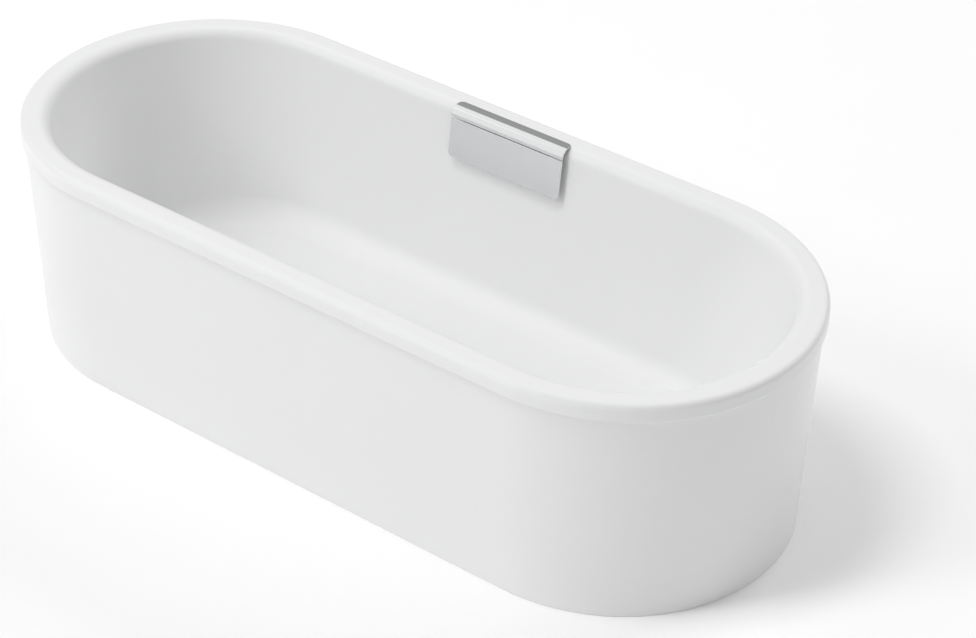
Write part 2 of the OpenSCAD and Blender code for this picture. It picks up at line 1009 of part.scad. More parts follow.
module at_cover_studs() {
    for (p = stud_at)
        translate([p[0], 0, p[1]])
            children();
}

module cover_clips() {
    color("dimgray")
        at_cover()
            at_cover_studs()
                difference() {
                    along_y(clip_r, bracket_face - clip_l, bracket_face);
                    along_y(cover_stud_r + slack, bracket_face - clip_l - cut, bracket_face + cut);
                }
}

module rim_trim() {
    color("silver")
        intersection() {
            translate([waste_x - cover_w / 2, 0, 0])
                rotate([90, 0, 90])
                    linear_extrude(cover_w)
                        trim_section();
            translate([waste_x, trim_back_y, tub_h - 2 * trim_r])
                linear_extrude(3 * trim_r)
                    back_rounded_plan(cover_w, 2 * trim_r);
        }
}

module trim_section() {
    difference() {
        union() {
            translate([trim_centre_y, trim_centre_z])
                circle(trim_r);
            translate([trim_centre_y, tub_h])
                square([trim_back_y - trim_centre_y, trim_t]);
        }
        translate([trim_centre_y, trim_centre_z])
            circle(trim_r - trim_t);
        translate([trim_centre_y - trim_r - cut, trim_centre_z - trim_r - cut])
            square([2 * (trim_r + cut), trim_r + cut]);
        translate([trim_centre_y, trim_centre_z - cut])
            square([trim_r + cut, trim_r - trim_t + cut]);
    }
}

// A plate's plan with its two back corners rounded; y = 0 is the back edge
module back_rounded_plan(w, d) {
    r = cover_corner_r;
    translate([-w / 2, -d])
        square([w, d - r]);
    translate([-w / 2 + r, -r - cut])
        square([w - 2 * r, r + cut]);
    for (s = [1, -1])
        translate([s * (w / 2 - r), -r])
            circle(r);
}

module overflow_cover() {
    color("silver")
        at_cover() {
            translate([0, cover_t, -cover_gap])
                rotate([90, 0, 0])
                    linear_extrude(cover_t)
                        rotate([0, 0, 180])
                            translate([0, cover_h - cover_gap])
                                back_rounded_plan(cover_w, cover_h - cover_gap);
            at_cover_studs()
                along_y(cover_stud_r, cover_t - cut, bracket_face - cover_stud_gap);
        }
}

tub_shell();
outer_skirt();
rim_bond();
floor_board();
long_rail(-1);  // long_rail_front
long_rail(1);  // long_rail_back
cross_rail(0);  // cross_rail_left
cross_rail(1);  // cross_rail_middle
cross_rail(2);  // cross_rail_right
rail_bolts();
rail_nuts();
board_screws();
skirt_brackets();
bracket_screws();
foot_inserts();
foot_lock_nuts();
for (i = FOOT_NUMBERS) foot_pad(i);
for (i = FOOT_NUMBERS) foot_stud(i);
drain_flange();
flange_seal();
drain_gasket();
drain_body();
stopper_cap();
stopper_seal();
stopper_pin();
trap_body();
trap_cap();
trap_cap_seal();
outlet_elbow();
slip_nuts_40();
pipe_seals_40();
overflow_flange();
overflow_seal();
overflow_body();
overflow_pipe();
overflow_elbow();
overflow_link();
slip_nuts_32();
pipe_seals_32();
cover_bracket();
cover_clips();
rim_trim();
overflow_cover();
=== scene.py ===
"""Looks of a freestanding bathtub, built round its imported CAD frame.

Everything is in metres in the frame's axes: the origin is on the floor under the middle of the
tub, +X runs along its length, +Y points to the overflow side and +Z is up.
"""

import math

import bmesh
import bpy
from mathutils import Matrix, Vector


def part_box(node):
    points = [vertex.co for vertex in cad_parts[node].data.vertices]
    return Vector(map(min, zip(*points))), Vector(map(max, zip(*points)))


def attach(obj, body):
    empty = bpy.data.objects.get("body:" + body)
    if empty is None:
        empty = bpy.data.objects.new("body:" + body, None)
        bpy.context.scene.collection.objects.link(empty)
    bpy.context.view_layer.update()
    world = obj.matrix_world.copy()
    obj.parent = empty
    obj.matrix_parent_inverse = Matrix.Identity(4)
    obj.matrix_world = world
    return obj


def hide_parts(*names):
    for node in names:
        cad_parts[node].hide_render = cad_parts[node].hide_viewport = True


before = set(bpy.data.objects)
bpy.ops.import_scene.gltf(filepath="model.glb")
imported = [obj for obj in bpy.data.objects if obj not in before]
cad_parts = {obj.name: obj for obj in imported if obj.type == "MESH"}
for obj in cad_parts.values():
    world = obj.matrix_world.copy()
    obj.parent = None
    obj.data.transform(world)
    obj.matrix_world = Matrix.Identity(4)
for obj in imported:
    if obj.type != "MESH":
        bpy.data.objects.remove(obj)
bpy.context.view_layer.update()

# Sizes from the frame
SHELL_LO, SHELL_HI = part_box("tub_shell")
APRON_LO, APRON_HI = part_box("outer_skirt")
TRIM_LO, TRIM_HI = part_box("rim_trim")
FLANGE_LO, FLANGE_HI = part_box("drain_flange")
CAP_LO, CAP_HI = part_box("stopper_cap")
RIM_R = SHELL_HI.y
END_C = SHELL_HI.x - RIM_R
RIM_Z = SHELL_HI.z
BASE_Z = SHELL_LO.z
WASTE_X = (FLANGE_LO.x + FLANGE_HI.x) / 2

# The basin's section
SHELL_T = 0.006
LEAN = math.radians(7.5)
END_DRAW = 0.158
FLOOR_Z = 0.088
DRAIN_Z = 0.085
FILLET_R = 0.048
RIM_INNER_R = 0.022
RIM_ROUND_R = RIM_R - 0.034
RIM_ROUND_Z = RIM_Z - RIM_INNER_R
RIM_OUTER_R = 0.011
LIP_H = 0.034
LIP_T = 0.0054
LIP_EDGE_R = 0.003
LIP_Z = RIM_Z - LIP_H

# The drain hole with its recess, and the overflow hole
RECESS_R = 0.044
RECESS_D = 0.0025
HOLE_R = 0.026
HOLE_EDGE = 0.0006
OVERFLOW_Z = 0.412

# Points round each ring of the basin and the apron
ARC_N = 72
SIDE_N = 56
RING_N = 2 * (ARC_N + SIDE_N)

# Upper end of the long wall's straight line
WALL_TOP_R = RIM_ROUND_R - RIM_INNER_R * math.cos(LEAN)
WALL_TOP_Z = RIM_ROUND_Z + RIM_INNER_R * math.sin(LEAN)


# ---------------------------------------------------------------- mesh helpers


def new_object(name, bm, sharp=35.0):
    """A smooth-shaded object from a bmesh, with the edges over a given angle kept sharp."""
    bmesh.ops.recalc_face_normals(bm, faces=bm.faces)
    mesh = bpy.data.meshes.new(name)
    bm.to_mesh(mesh)
    bm.free()
    mesh.shade_smooth()
    mesh.set_sharp_from_angle(angle=math.radians(sharp))
    obj = bpy.data.objects.new(name, mesh)
    bpy.context.scene.collection.objects.link(obj)
    return obj


def apply_modifiers(obj):
    """Replaces the object's mesh by its evaluated one and drops the modifiers."""
    graph = bpy.context.evaluated_depsgraph_get()
    mesh = bpy.data.meshes.new_from_object(obj.evaluated_get(graph))
    obj.modifiers.clear()
    obj.data = mesh


def stadium_point(c, r, i):
    """Point i of a stadium outline: the right end, the far side, the left end, the near side."""
    if i <= ARC_N:
        a = math.pi * (i / ARC_N - 0.5)
        return c + r * math.cos(a), r * math.sin(a)
    i -= ARC_N
    if i < SIDE_N:
        return c * (1 - 2 * i / SIDE_N), r
    i -= SIDE_N
    if i <= ARC_N:
        a = math.pi * (i / ARC_N + 0.5)
        return -c + r * math.cos(a), r * math.sin(a)
    i -= ARC_N
    return -c * (1 - 2 * i / SIDE_N), -r


def stadium(c, r, z):
    """A stadium ring at a height, from its half straight length and its end radius."""
    return [Vector((*stadium_point(c, r, i), z)) for i in range(RING_N)]


def circle(r, z):
    """A circle round the waste with as many points as a stadium, starting at the same corner."""
    turn = 2 * math.pi / RING_N
    angles = [turn * (i - ARC_N / 2) for i in range(RING_N)]
    return [Vector((WASTE_X + r * math.cos(a), r * math.sin(a), z)) for a in angles]


def blend_rings(a, b, t):
    """The ring a share t of the way from a to b."""
    return [p.lerp(q, t) for p, q in zip(a, b)]


def ring_skin(rings, closed):
    """Quads between neighbouring rings of equal point counts; closed joins the last to the first."""
    bm = bmesh.new()
    rows = [[bm.verts.new(p) for p in ring] for ring in rings]
    pairs = list(zip(rows, rows[1:]))
    if closed:
        pairs.append((rows[-1], rows[0]))
    for low, high in pairs:
        for j in range(len(low)):
            k = (j + 1) % len(low)
            bm.faces.new((low[j], low[k], high[k], high[j]))
    return bm


def arc(cr, cz, r, start, end, n):
    """n segments of an arc as (radius, height) points; the angles are in degrees."""
    steps = [math.radians(start + (end - start) * i / n) for i in range(n + 1)]
    return [(cr + r * math.cos(a), cz + r * math.sin(a)) for a in steps]


def densify(points, step, guard):
    """Fills long straight stretches, with a guard point close to each end to keep shading true."""
    out = [points[0]]
    for p, q in zip(points, points[1:]):
        length = math.dist(p, q)
        if length > 4 * guard:
            inner = max(1, round(length / step))
            span = 1 - 2 * guard / length
            shares = [guard / length + span * k / inner for k in range(inner + 1)]
            out += [tuple(u + (v - u) * s for u, v in zip(p, q)) for s in shares]
        out.append(q)
    return out


def cut_hole(obj, matrix, radius, depth):
    """Cuts a round hole along the matrix's own Z axis, depth each way from its origin."""
    bm = bmesh.new()
    bmesh.ops.create_cone(
        bm,
        cap_ends=True,
        segments=96,
        radius1=radius,
        radius2=radius,
        depth=2 * depth,
        matrix=matrix,
    )
    cutter = new_object("cutter", bm)
    hole = obj.modifiers.new("hole", "BOOLEAN")
    hole.operation = "DIFFERENCE"
    hole.solver = "EXACT"
    hole.object = cutter
    apply_modifiers(obj)
    bpy.data.objects.remove(cutter)


def lathe(name, profile, n, matrix):
    """A closed (radius, height) outline turned about the matrix's Z axis."""
    bm = bmesh.new()
    rows = []
    for r, z in profile:
        if r < 1e-6:
            rows.append([bm.verts.new(matrix @ Vector((0, 0, z)))] * n)
            continue
        angles = [2 * math.pi * k / n for k in range(n)]
        ring = [Vector((r * math.cos(a), r * math.sin(a), z)) for a in angles]
        rows.append([bm.verts.new(matrix @ p) for p in ring])
    for low, high in zip(rows, rows[1:] + rows[:1]):
        for j in range(n):
            k = (j + 1) % n
            corners = []
            for v in (low[j], low[k], high[k], high[j]):
                if v not in corners:
                    corners.append(v)
            if len(corners) > 2:
                bm.faces.new(corners)
    return new_object(name, bm)


def rounded(points, radius, n=4):
    """A closed (x, y) outline with each corner rounded; radius is one number or one per corner."""
    out = []
    for i, here in enumerate(points):
        r = radius[i] if hasattr(radius, "__len__") else radius
        if r <= 0:
            out.append(tuple(here))
            continue
        here = Vector(here)
        back = (Vector(points[i - 1]) - here).normalized()
        ahead = (Vector(points[(i + 1) % len(points)]) - here).normalized()
        half = back.angle(ahead) / 2
        reach = r / math.tan(half)
        centre = here + (back + ahead).normalized() * (r / math.sin(half))
        start = here + back * reach - centre
        turn = (math.pi - 2 * half) * (1 if back.cross(ahead) < 0 else -1)
        for k in range(n + 1):
            a = turn * k / n
            x = start.x * math.cos(a) - start.y * math.sin(a)
            y = start.x * math.sin(a) + start.y * math.cos(a)
            out.append((centre.x + x, centre.y + y))
    return out


def bevel(obj, width, segments=3):
    """Rounds every sharp edge of a finished plate."""
    edge = obj.modifiers.new("bevel", "BEVEL")
    edge.width = width
    edge.segments = segments
    edge.limit_method = "ANGLE"
    edge.angle_limit = math.radians(40)
    edge.harden_normals = True
    apply_modifiers(obj)


def join(obj, others):
    """Merges other objects' meshes into obj, which keeps its name."""
    bm = bmesh.new()
    bm.from_mesh(obj.data)
    for other in others:
        bm.from_mesh(other.data)
        bpy.data.objects.remove(other)
    bm.to_mesh(obj.data)
    bm.free()


# ---------------------------------------------------------------- basin


def wall_r(z, out):
    """Radius of the long wall at a height, with an offset out of the basin."""
    return WALL_TOP_R + out / math.cos(LEAN) - math.tan(LEAN) * (WALL_TOP_Z - z)


def basin_c(z):
    """Half distance between the basin's end centres, drawn in with depth."""
    return END_C - END_DRAW * (RIM_Z - z)


def fillet(out, z0, r):
    """From a floor at z0 up to the tangent on the wall line at an offset."""
    tangent_z = z0 + r * (1 - math.sin(LEAN))
    centre_r = wall_r(tangent_z, out) - r * math.cos(LEAN)
    return arc(centre_r, z0 + r, r, -90, -math.degrees(LEAN), 18)


def basin_rings():
    """All rings of the basin's closed skin: inside, rim, lip, underside, drain hole and floor."""
    lean = math.degrees(LEAN)
    rim_round = (RIM_ROUND_R, RIM_ROUND_Z)
    inside = fillet(0, FLOOR_Z, FILLET_R) + arc(*rim_round, RIM_INNER_R, 180 - lean, 90, 14)
    inside = densify(inside, 0.03, 0.0025)
    outside = arc(RIM_R - RIM_OUTER_R, RIM_Z - RIM_OUTER_R, RIM_OUTER_R, 90, 0, 10)
    outside += arc(RIM_R - LIP_EDGE_R, LIP_Z + LIP_EDGE_R, LIP_EDGE_R, 0, -90, 6)
    outside += [(RIM_R - LIP_T, LIP_Z), (RIM_R - LIP_T, RIM_Z - SHELL_T)]
    outside = densify([inside[-1]] + outside, 0.012, 0.0015)[1:]
    under = arc(*rim_round, RIM_INNER_R - SHELL_T, 90, 180 - lean, 10)
    under += fillet(SHELL_T, BASE_Z, FILLET_R + SHELL_T)[::-1]
    under = densify([outside[-1]] + under, 0.05, 0.003)[1:]

    rings = [stadium(basin_c(z), r, z) for r, z in inside]
    rings += [stadium(END_C, r, z) for r, z in outside]
    rings += [stadium(basin_c(z), r, z) for r, z in under]

    # The underside runs in to the drain hole, up through it, over the recess and out to the floor
    edge = HOLE_EDGE
    hole_foot = circle(HOLE_R, BASE_Z)
    rings += [blend_rings(rings[-1], hole_foot, t / 8) for t in range(1, 9)]
    recess_z = DRAIN_Z - RECESS_D
    rings += [circle(r, z) for r, z in arc(HOLE_R + edge, recess_z - edge, edge, 180, 90, 4)]
    rings += [circle(RECESS_R, recess_z)]
    rings += [circle(r, z) for r, z in arc(RECESS_R + edge, DRAIN_Z - edge, edge, 180, 90, 4)]
    dish, floor_edge = rings[-1], rings[0]
    for k in range(1, 24):
        t = k / 24
        ring = blend_rings(dish, floor_edge, t)
        for p in ring:
            p.z = DRAIN_Z + (FLOOR_Z - DRAIN_Z) * math.sin(t * math.pi / 2)
        rings.append(ring)
    return rings


def overflow_matrix():
    """The overflow hole's frame: its Z axis is square to the leaning wall."""
    place = Matrix.Translation((WASTE_X, wall_r(OVERFLOW_Z, 0), OVERFLOW_Z))
    return place @ Matrix.Rotation(-LEAN - math.pi / 2, 4, "X")


def build_basin():
    """The basin with its rolled rim, hanging lip, dished floor, drain hole and overflow hole."""
    obj = new_object("basin", ring_skin(basin_rings(), closed=True))
    cut_hole(obj, overflow_matrix(), HOLE_R, 0.015)
    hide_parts("tub_shell")
    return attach(obj, "tub")


# ---------------------------------------------------------------- apron

CROSS_RAILS = ("cross_rail_left", "cross_rail_middle", "cross_rail_right")
APRON_T = 0.005
APRON_DRAW = 0.0146
FOOT_FLANGE_W = 0.021
FOOT_FLANGE_T = 0.005
BRACKET_SCREW_Y = 0.326
BRACKET_SCREW_R = 0.0026


def build_apron():
    """The tapered apron, with its inward foot flange and the six bracket screw holes."""
    top_r = APRON_HI.y
    foot_r = top_r - APRON_DRAW
    outline = [
        (foot_r, 0),
        (top_r, LIP_Z),
        (top_r, APRON_HI.z),
        (top_r - APRON_T, APRON_HI.z),
        (top_r - APRON_T, LIP_Z),
        (foot_r - APRON_T, FOOT_FLANGE_T),
        (foot_r - FOOT_FLANGE_W, FOOT_FLANGE_T),
        (foot_r - FOOT_FLANGE_W, 0),
    ]
    profile = rounded(outline, [0.0018, 0, 0.001, 0.001, 0, 0.002, 0.0012, 0.0008])
    profile = densify(profile + profile[:1], 0.03, 0.0012)[:-1]
    rings = [stadium(END_C, r, z) for r, z in profile]
    obj = new_object("apron", ring_skin(rings, closed=True))
    rail_xs = [sum(c.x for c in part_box(n)) / 2 for n in CROSS_RAILS]
    for x in rail_xs:
        for side in (-1, 1):
            place = Matrix.Translation((x, side * BRACKET_SCREW_Y, FOOT_FLANGE_T))
            cut_hole(obj, place, BRACKET_SCREW_R, FOOT_FLANGE_T - 0.001)
    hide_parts("outer_skirt")
    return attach(obj, "tub")


# ---------------------------------------------------------------- chrome plates

PLATE_W = TRIM_HI.x - TRIM_LO.x
PLATE_CORNER_R = 0.010
PLATE_BEVEL = 0.0006
TRIM_T = 0.002
TRIM_R = TRIM_HI.z - TRIM_LO.z
COVER_T = 0.003
COVER_GAP = 0.0016
COVER_H = 0.084
STUD_R = 0.003
STUD_CHAMFER = 0.001
STUD_OVERLAP = 0.0005
STUD_CLEAR = 0.002
STUDS = [(-0.070, -0.022), (0.070, -0.022), (-0.070, -0.062), (0.070, -0.062)]


def build_trim():
    """The upper plate: a flat strip on the rim that turns down over the edge as a quarter round."""
    straight = PLATE_W / 2 - PLATE_CORNER_R
    corner = [math.pi / 2 * k / 8 for k in range(9)]
    r = PLATE_CORNER_R
    ends = [(straight + r * math.sin(a), r * (1 - math.cos(a))) for a in corner]
    slices = [(straight * k / 12, 0.0) for k in range(12)] + ends
    slices = [(-x, inset) for x, inset in slices[:0:-1]] + slices
    centre_y, centre_z = TRIM_LO.y + TRIM_R, TRIM_LO.z
    bm = bmesh.new()
    rows = []
    for x, inset in slices:
        back = TRIM_HI.y - inset
        flat = [back + (centre_y - back) * k / 4 for k in range(4)]
        outer = [(y, TRIM_HI.z) for y in flat]
        outer += arc(centre_y, centre_z, TRIM_R, 90, 180, 24)
        inner = [(y, TRIM_HI.z - TRIM_T) for y in flat]
        inner += arc(centre_y, centre_z, TRIM_R - TRIM_T, 90, 180, 24)
        section = outer + inner[::-1]
        rows.append([bm.verts.new((WASTE_X + x, y, z)) for y, z in section])
    count = len(rows[0])
    for low, high in zip(rows, rows[1:]):
        for j in range(count):
            k = (j + 1) % count
            bm.faces.new((low[j], low[k], high[k], high[j]))
    for row in (rows[0], rows[-1]):
        for j in range(count // 2 - 1):
            bm.faces.new((row[j], row[j + 1], row[count - 2 - j], row[count - 1 - j]))
    obj = new_object("rim_plate", bm)
    bevel(obj, PLATE_BEVEL)
    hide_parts("rim_trim")
    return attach(obj, "tub")


def cover_matrix():
    """The lower plate's frame: X across, Y up the plate and Z out into the basin."""
    place = Matrix.Translation((WASTE_X, TRIM_LO.y, TRIM_LO.z))
    return place @ Matrix.Rotation(math.pi / 2 - LEAN, 4, "X")


def build_cover():
    """The lower plate with its four studs."""
    half = PLATE_W / 2
    low, high = -COVER_H, -COVER_GAP
    corners = [(-half, low), (half, low), (half, high), (-half, high)]
    outline = rounded(corners, [PLATE_CORNER_R, PLATE_CORNER_R, 0, 0], 10)
    bm = bmesh.new()
    face = bm.faces.new([bm.verts.new((x, y, 0)) for x, y in outline])
    sides = bmesh.ops.extrude_face_region(bm, geom=[face])
    back = [v for v in sides["geom"] if isinstance(v, bmesh.types.BMVert)]
    bmesh.ops.translate(bm, verts=back, vec=(0, 0, -COVER_T))
    obj = new_object("overflow_plate", bm)
    bevel(obj, PLATE_BEVEL)
    stud_l = cover_stud_length()
    tip = [(STUD_R, STUD_CHAMFER - stud_l), (STUD_R - STUD_CHAMFER, -stud_l), (0, -stud_l)]
    turned = [(0, 0), (STUD_R, 0)] + tip
    studs = [
        lathe(f"stud_{i}", turned, 32, Matrix.Translation((x, y, STUD_OVERLAP - COVER_T)))
        for i, (x, y) in enumerate(STUDS)
    ]
    join(obj, studs)
    obj.data.transform(cover_matrix())
    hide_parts("overflow_cover")
    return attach(obj, "cover")


def cover_stud_length():
    """How far the studs reach behind the plate: to just short of the wall."""
    wall_gap = (wall_r(TRIM_LO.z, 0) - TRIM_LO.y) * math.cos(LEAN)
    return wall_gap - STUD_CLEAR - COVER_T


# ---------------------------------------------------------------- waste fittings

NECK_BORE_R = 0.021
NECK_R = 0.024
DISH_R = 0.030
RING_T = 0.0025
SPIDER_BARS = 6
SPIDER_REACH = 0.0225
SPIDER_OVERLAP = 0.001
SPIDER_BAR_W = 0.003
SPIDER_BAR_H = 0.005
BOSS_R = 0.006
BOSS_H = 0.008
PIN_R = 0.0031
DOME_RISE = 0.002
CAP_ROLL_R = 0.0014
CAP_SHOULDER = 0.0016
CAP_FOOT_BREAK = (0.0008, 0.0005)


def waste_matrix():
    """The waste's frame: on the floor below the drain hole."""
    return Matrix.Translation((WASTE_X, 0, 0))


def build_drain_flange():
    """The chromed ring in the floor, its neck and the six bars that guide the stopper's pin."""
    top, foot = FLANGE_HI.z, FLANGE_LO.z
    outer = FLANGE_HI.y
    under = top - RING_T
    outline = [
        (NECK_BORE_R, foot),
        (NECK_R, foot),
        (NECK_R, under),
        (outer, under),
        (outer, top),
        (DISH_R, top),
        (NECK_BORE_R, under),
    ]
    profile = rounded(outline, [0.0005, 0.0005, 0, 0.0004, 0.0018, 0.0015, 0.0025], 6)
    obj = lathe("waste_ring", profile, 128, waste_matrix())
    boss = [(PIN_R, foot), (BOSS_R, foot), (BOSS_R, foot + BOSS_H), (PIN_R, foot + BOSS_H)]
    extra = [lathe("boss", rounded(boss, 0.0006), 48, waste_matrix())]
    near = BOSS_R - SPIDER_OVERLAP
    size = Matrix.Diagonal((SPIDER_REACH - near, SPIDER_BAR_W, SPIDER_BAR_H, 1))
    middle = ((SPIDER_REACH + near) / 2, 0, foot + SPIDER_BAR_H / 2)
    for k in range(SPIDER_BARS):
        bm = bmesh.new()
        turn = waste_matrix() @ Matrix.Rotation(k * 2 * math.pi / SPIDER_BARS, 4, "Z")
        bmesh.ops.create_cube(bm, size=1, matrix=turn @ Matrix.Translation(middle) @ size)
        bar = new_object(f"bar_{k}", bm)
        bevel(bar, 0.0005, 2)
        extra.append(bar)
    join(obj, extra)
    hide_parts("drain_flange")
    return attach(obj, "tub")


def build_stopper():
    """The push stopper's cap: a shallow dome with a rolled edge."""
    r = CAP_HI.y
    top, foot = CAP_HI.z, CAP_LO.z
    dome_r = (r * r + DOME_RISE * DOME_RISE) / (2 * DOME_RISE)
    rise = [(r - CAP_SHOULDER) * (1 - k / 14) for k in range(15)]
    dome = [(x, top - dome_r + math.sqrt(dome_r * dome_r - x * x)) for x in rise]
    shoulder_z = dome[0][1]
    roll = arc(r - CAP_ROLL_R, shoulder_z - CAP_ROLL_R, CAP_ROLL_R, 0, 80, 6)
    in_by, up_by = CAP_FOOT_BREAK
    profile = [(0, foot), (r - in_by, foot), (r, foot + up_by)] + roll + dome[1:]
    obj = lathe("stopper_dome", profile, 128, waste_matrix())
    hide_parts("stopper_cap")
    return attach(obj, "stopper")


# ---------------------------------------------------------------- materials


THREAD_PITCH = 0.0015


class Shader:
    """A Principled material that is built node by node."""

    def __init__(self, name, color, roughness, **sockets):
        self.material = bpy.data.materials.new(name)
        self.material.use_nodes = True
        self.tree = self.material.node_tree
        self.bsdf = self.tree.nodes["Principled BSDF"]
        self.bsdf.inputs["Base Color"].default_value = (*color, 1)
        self.bsdf.inputs["Roughness"].default_value = roughness
        for socket, value in sockets.items():
            self.bsdf.inputs[socket.replace("_", " ")].default_value = value
        self.place = self.tree.nodes.new("ShaderNodeTexCoord").outputs["Object"]

    def node(self, kind, **inputs):
        made = self.tree.nodes.new(kind)
        for key, value in inputs.items():
            socket = made.inputs[key.replace("_", " ")]
            if isinstance(value, bpy.types.NodeSocket):
                self.tree.links.new(value, socket)
            else:
                socket.default_value = value
        return made

    def scaled(self, scale):
        """The object's own coordinates, stretched by a scale for each axis."""
        return self.node("ShaderNodeMapping", Vector=self.place, Scale=scale).outputs["Vector"]

    def noise(self, scale, detail=4.0, stretch=(1, 1, 1), roughness=0.5):
        return self.node(
            "ShaderNodeTexNoise",
            Vector=self.scaled(stretch),
            Scale=scale,
            Detail=detail,
            Roughness=roughness,
        ).outputs["Fac"]

    def to_range(self, value, low, high, source=(0.3, 0.7)):
        made = self.node("ShaderNodeMapRange", Value=value)
        made.inputs["From Min"].default_value = source[0]
        made.inputs["From Max"].default_value = source[1]
        made.inputs["To Min"].default_value = low
        made.inputs["To Max"].default_value = high
        return made.outputs["Result"]

    def mix(self, value, low, high):
        """A colour between two, by a value."""
        ramp = self.tree.nodes.new("ShaderNodeMix")
        ramp.data_type = "RGBA"
        self.tree.links.new(value, ramp.inputs["Factor"])
        ramp.inputs["A"].default_value = (*low, 1)
        ramp.inputs["B"].default_value = (*high, 1)
        return ramp.outputs["Result"]

    def color(self, socket):
        self.tree.links.new(socket, self.bsdf.inputs["Base Color"])

    def roughness(self, socket):
        self.tree.links.new(socket, self.bsdf.inputs["Roughness"])

    def bump(self, *layers):
        """Bump from (height, strength, distance) layers, one on another."""
        normal = None
        for height, strength, distance in layers:
            made = self.node("ShaderNodeBump", Height=height, Strength=strength, Distance=distance)
            if normal is not None:
                self.tree.links.new(normal, made.inputs["Normal"])
            normal = made.outputs["Normal"]
        self.tree.links.new(normal, self.bsdf.inputs["Normal"])


def acrylic():
    """Cast sanitary acrylic: white, with a soft gloss and a faint orange peel."""
    m = Shader("acrylic", (0.87, 0.872, 0.875), 0.32, Coat_Weight=0.3, Coat_Roughness=0.12, IOR=1.49)
    m.color(m.mix(m.noise(3.0, 2), (0.866, 0.868, 0.872), (0.878, 0.879, 0.882)))
    m.roughness(m.to_range(m.noise(9.0, 5), 0.30, 0.36))
    m.bump((m.noise(26.0, 2), 0.08, 0.0006), (m.noise(420.0, 2), 0.05, 0.00008))
    return m.material


def chrome():
    """Polished chrome plate with a trace of fine wiping marks."""
    m = Shader("chrome", (0.87, 0.875, 0.88), 0.12, Metallic=1.0)
    m.color(m.mix(m.noise(14.0, 3), (0.86, 0.866, 0.872), (0.885, 0.889, 0.894)))
    m.roughness(m.to_range(m.noise(60.0, 6, (0.15, 1, 1)), 0.09, 0.15))
    m.bump((m.noise(900.0, 2, (0.1, 1, 1)), 0.03, 0.00003))
    return m.material


def brushed_steel():
    """Stainless sheet, brushed along its length."""
    m = Shader("brushed_steel", (0.5, 0.5, 0.5), 0.32, Metallic=1.0)
    grain = m.noise(900.0, 3, (0.02, 1, 1))
    m.color(m.mix(grain, (0.42, 0.42, 0.43), (0.58, 0.58, 0.58)))
    m.roughness(m.to_range(grain, 0.24, 0.42))
    m.bump((grain, 0.25, 0.00005))
    return m.material


def zinc():
    """Galvanised steel: a pale spangle under a dull film."""
    m = Shader("zinc", (0.55, 0.57, 0.59), 0.4, Metallic=0.9)
    cells = m.node("ShaderNodeTexVoronoi", Vector=m.place, Scale=110.0).outputs["Color"]
    tone = m.node("ShaderNodeSeparateColor", Color=cells).outputs["Red"]
    m.color(m.mix(tone, (0.44, 0.46, 0.48), (0.63, 0.65, 0.67)))
    m.roughness(m.to_range(tone, 0.30, 0.52, (0, 1)))
    m.bump((m.noise(240.0, 4), 0.15, 0.0001), (tone, 0.1, 0.00006))
    return m.material


def threaded():
    """Zinc-plated rod with a rolled thread; its grooves carry painted shade and its crests a painted
    highlight.
    """
    m = Shader("threaded", (0.6, 0.6, 0.58), 0.3, Metallic=1.0)
    turns = m.tree.nodes.new("ShaderNodeTexWave")
    turns.bands_direction = "Z"
    turns.inputs["Scale"].default_value = math.pi / 10 / THREAD_PITCH
    m.tree.links.new(m.place, turns.inputs["Vector"])
    thread = turns.outputs["Fac"]
    # painted shade and highlight: the colour runs darker in the thread's grooves and lighter on its
    # crests, on top of the bump
    m.color(m.mix(thread, (0.34, 0.34, 0.33), (0.66, 0.65, 0.62)))
    m.roughness(m.to_range(m.noise(80.0, 4), 0.24, 0.4))
    m.bump((thread, 0.9, 0.0006))
    return m.material


def brass():
    """Turned brass with fine ring marks."""
    m = Shader("brass", (0.72, 0.53, 0.25), 0.25, Metallic=1.0)
    ring_marks = m.noise(700.0, 2, (1, 1, 0.05))
    m.color(m.mix(m.noise(40.0, 4), (0.62, 0.44, 0.19), (0.78, 0.58, 0.29)))
    m.roughness(m.to_range(ring_marks, 0.2, 0.36))
    m.bump((ring_marks, 0.15, 0.00004))
    return m.material


def moulded(name, low, high, roughness, grain=0.12):
    """Moulded plastic with a fine even grain."""
    m = Shader(name, high, roughness)
    m.color(m.mix(m.noise(20.0, 4), low, high))
    m.roughness(m.to_range(m.noise(70.0, 4), roughness - 0.06, roughness + 0.08))
    m.bump((m.noise(1500.0, 2), grain, 0.00006), (m.noise(45.0, 2), 0.06, 0.0003))
    return m.material


def rubber():
    """Black sealing rubber, matt and slightly mottled."""
    m = Shader("rubber", (0.03, 0.03, 0.032), 0.6)
    m.color(m.mix(m.noise(50.0, 5), (0.022, 0.022, 0.024), (0.05, 0.05, 0.052)))
    m.roughness(m.to_range(m.noise(120.0, 4), 0.5, 0.75))
    m.bump((m.noise(1200.0, 3), 0.2, 0.0001))
    return m.material


def adhesive():
    """A cured bead of pale mounting adhesive."""
    m = Shader("adhesive", (0.7, 0.68, 0.62), 0.5)
    m.color(m.mix(m.noise(30.0, 5), (0.62, 0.6, 0.54), (0.74, 0.72, 0.67)))
    m.roughness(m.to_range(m.noise(60.0, 3), 0.4, 0.65))
    m.bump((m.noise(55.0, 4), 0.5, 0.0012))
    return m.material


def chipboard():
    """Particle board: coarse chips in several tones, pressed flat."""
    m = Shader("chipboard", (0.55, 0.4, 0.24), 0.75)
    chips = m.node("ShaderNodeTexVoronoi", Vector=m.scaled((0.5, 1, 1.6)), Scale=210.0)
    tone = m.node("ShaderNodeSeparateColor", Color=chips.outputs["Color"]).outputs["Green"]
    m.color(m.mix(tone, (0.36, 0.24, 0.13), (0.66, 0.5, 0.31)))
    m.roughness(m.to_range(tone, 0.65, 0.85, (0, 1)))
    m.bump((chips.outputs["Distance"], 0.3, 0.0004), (m.noise(500.0, 4), 0.3, 0.0002))
    return m.material


